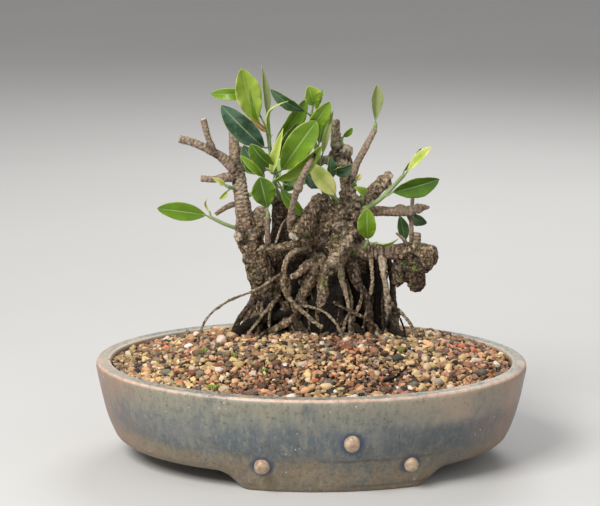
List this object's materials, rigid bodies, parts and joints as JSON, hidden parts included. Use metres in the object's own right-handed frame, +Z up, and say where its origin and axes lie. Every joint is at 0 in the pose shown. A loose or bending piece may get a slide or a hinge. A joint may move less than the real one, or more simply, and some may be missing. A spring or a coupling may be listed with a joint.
{
  "type": "chinese banyan bonsai",
  "caption": "Small banyan fig bonsai with bare aerial roots, cut-back limbs and young leafy shoots, standing in grit in an oval glazed footed pot.",
  "frame": {"origin": "centre of the pot's outline, on the plane that its feet stand on", "axes": "+X to the right along the pot's length, +Y to the back, +Z up"},
  "size_m": [0.34, 0.248, 0.3071],
  "materials": {
    "glaze": "semi-matt mottled blue-grey and grey-green glaze",
    "screen": "dark woven mesh",
    "grit": "dry mixed grit of tan, cream, red-brown and dark stones",
    "bark": "rough grey-brown bark, dark roots",
    "leaf": "waxy green leaf with a paler midrib"
  },
  "bodies": {
    "root": {"pot": "glaze", "drain_screen_left": "screen", "drain_screen_right": "screen", "grit": "grit", "tree": "bark", "shoot_left": "leaf", "shoot_crown": "leaf", "shoot_crown_right": "leaf", "shoot_low_left": "leaf", "leaf_front": "leaf", "leaf_yellowing": "leaf", "leaves_inner_dark": "leaf", "leaf_small_top": "leaf", "leaf_spear": "leaf", "shoot_right": "leaf", "leaf_curled": "leaf", "leaf_oval_right": "leaf", "leaves_right_back": "leaf", "leaf_limb_strip": "leaf", "buds_left": "leaf", "bud_upper": "leaf", "shoot_back": "leaf"}
  },
  "joints": []
}
